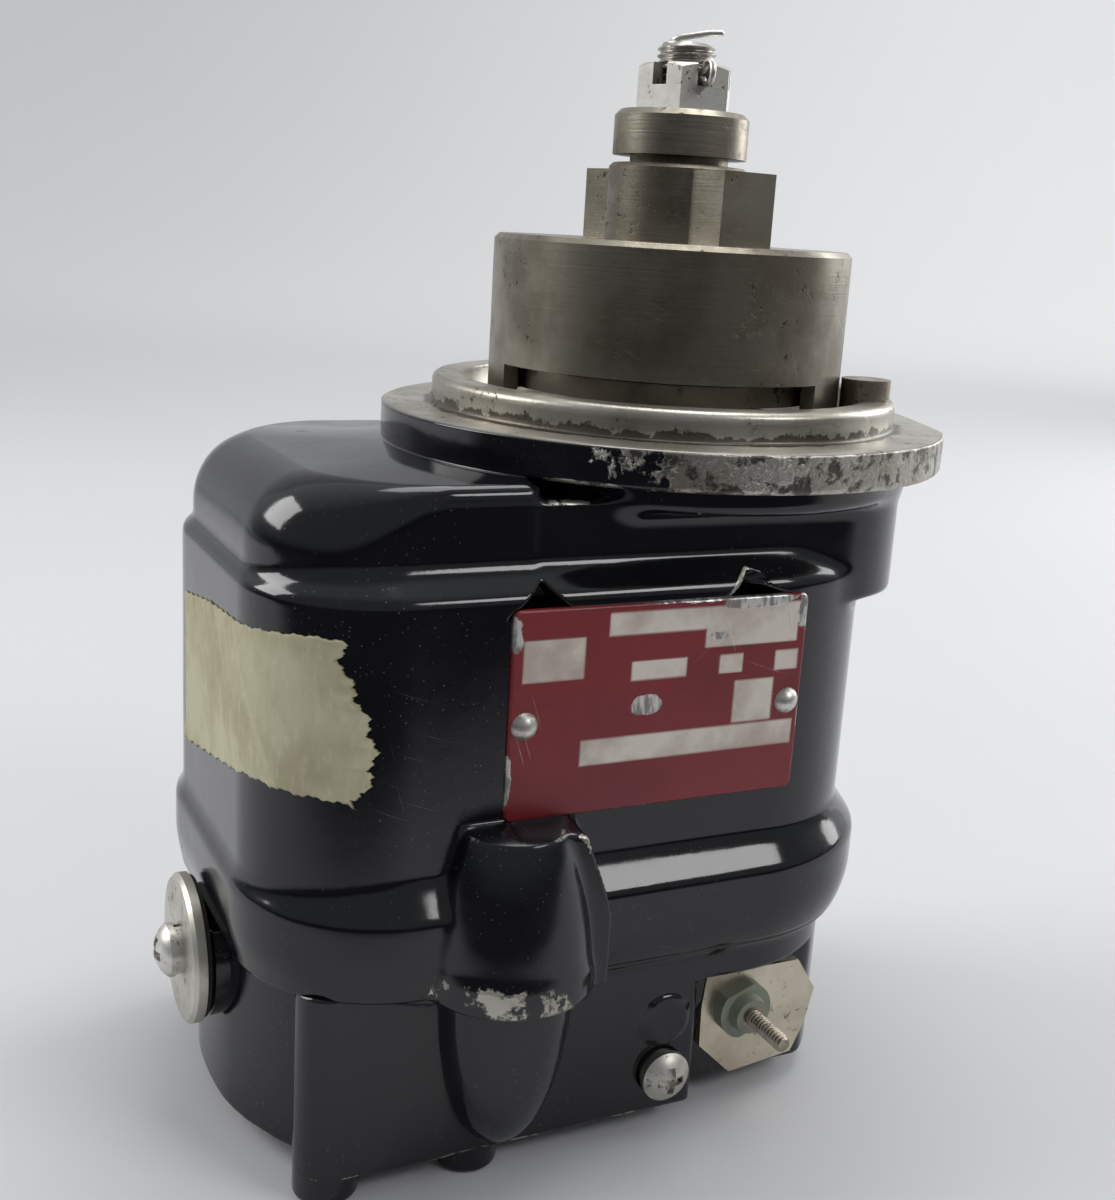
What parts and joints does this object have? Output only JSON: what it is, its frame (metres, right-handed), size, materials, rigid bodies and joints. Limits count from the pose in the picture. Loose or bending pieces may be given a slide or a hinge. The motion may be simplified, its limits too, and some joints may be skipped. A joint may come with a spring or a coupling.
{
  "type": "aircraft magneto",
  "caption": "Flange-mounted aircraft ignition magneto with an impulse coupling, cast two-piece housing, distributor drive, condenser and data plate.",
  "frame": {"origin": "centre of the mounting pilot on the flange face, on the rotor axis", "axes": "+Z out along the rotor axis, +X along the front face away from the coil, front face and data plate towards -Y"},
  "size_m": [0.1321, 0.0962, 0.1726],
  "materials": {
    "black_paint": "gloss enamel, chipped",
    "plate_red": "satin printed aluminium",
    "tape": "creped paper",
    "screw_steel": "worn plated",
    "terminal_plate": "passivated",
    "insulator": "moulded",
    "stud_steel": "worn",
    "cover_nickel": "satin",
    "gasket": "matte",
    "block_plastic": "moulded",
    "brass": "turned",
    "shaft_steel": "ground",
    "magnet": "ground",
    "laminations": "laminated",
    "coil_wrap": "varnished",
    "cap_alloy": "as cast",
    "breaker_fibre": "fibre",
    "gear_nylon": "moulded",
    "carbon": "pressed",
    "coupling_steel": "oiled dark",
    "spring_steel": "blued",
    "weight_steel": "oiled"
  },
  "bodies": {
    "casing": {"frame_housing": "black_paint", "distributor_housing": "black_paint", "stop_pin": "stud_steel", "data_plate": "plate_red", "plate_drive_screws": "screw_steel", "masking_tape": "tape", "housing_screws": "screw_steel", "ground_screw": "screw_steel", "condenser": "terminal_plate", "terminal_bushing": "insulator", "terminal_stud": "stud_steel", "side_cover_gasket": "gasket", "side_cover": "cover_nickel", "side_cover_lock_washer": "screw_steel", "side_cover_screw": "screw_steel", "distributor_block": "block_plastic", "electrodes": "brass", "front_outer_race": "shaft_steel", "front_balls": "shaft_steel", "snap_ring": "shaft_steel", "oil_seal": "gasket", "pole_shoes": "laminations", "coil_core": "laminations", "coil": "coil_wrap", "high_tension_tab": "brass", "bearing_cap": "cap_alloy", "bearing_cap_screws": "screw_steel", "rear_outer_race": "shaft_steel", "rear_balls": "shaft_steel", "breaker_pivot": "stud_steel", "fixed_contact": "brass"},
    "rotor": {"rotor_shaft": "shaft_steel", "rotor_magnet": "magnet", "shaft_key": "stud_steel", "front_inner_race": "shaft_steel", "rear_inner_race": "shaft_steel", "rotor_gear": "shaft_steel", "breaker_cam": "shaft_steel", "cam_screw": "screw_steel", "impulse_spring": "spring_steel", "flyweight_carrier": "weight_steel", "flyweight_rivets": "weight_steel", "drive_collar": "coupling_steel", "castle_nut": "screw_steel", "cotter_pin": "screw_steel"},
    "coupling": {"impulse_body": "coupling_steel"},
    "flyweight_one": {"flyweight_a": "weight_steel"},
    "flyweight_two": {"flyweight_b": "weight_steel"},
    "breaker": {"breaker_arm": "breaker_fibre"},
    "distributor": {"distributor_gear": "gear_nylon", "distributor_finger": "brass"},
    "brush": {"carbon_brush": "carbon", "brush_spring": "shaft_steel"}
  },
  "joints": [
    {"name": "rotor_spin", "type": "hinge", "parent": "casing", "child": "rotor", "pos_m": [0, 0, 0], "axis": [0, 0, 1], "continuous": true},
    {"name": "coupling_lag", "type": "hinge", "parent": "rotor", "child": "coupling", "pos_m": [0, 0, 0.02], "axis": [0, 0, 1], "range_deg": [-35, 0], "stiffness_Nm_per_rad": 0.2},
    {"name": "flyweight_one_swing", "type": "hinge", "parent": "rotor", "child": "flyweight_one", "pos_m": [-0.00166, -0.01893, 0.002], "axis": [0, 0, 1], "range_deg": [0, 10]},
    {"name": "flyweight_two_swing", "type": "hinge", "parent": "rotor", "child": "flyweight_two", "pos_m": [0.00166, 0.01893, 0.002], "axis": [0, 0, 1], "range_deg": [0, 10]},
    {"name": "breaker_swing", "type": "hinge", "parent": "casing", "child": "breaker", "pos_m": [0.018, 0.012, -0.095], "axis": [0, 0, 1], "range_deg": [0, 0.85]},
    {"name": "distributor_spin", "type": "hinge", "parent": "casing", "child": "distributor", "pos_m": [-0.03855, 0, -0.089], "axis": [0, 0, 1], "continuous": true},
    {"name": "brush_slide", "type": "slide", "parent": "distributor", "child": "brush", "axis": [0, 0, -1], "range_m": [0, 0.001], "stiffness_N_per_m": 200}
  ],
  "couplings": [
    {"joint": "distributor_spin", "follows": "rotor_spin", "ratio": -0.33333}
  ]
}
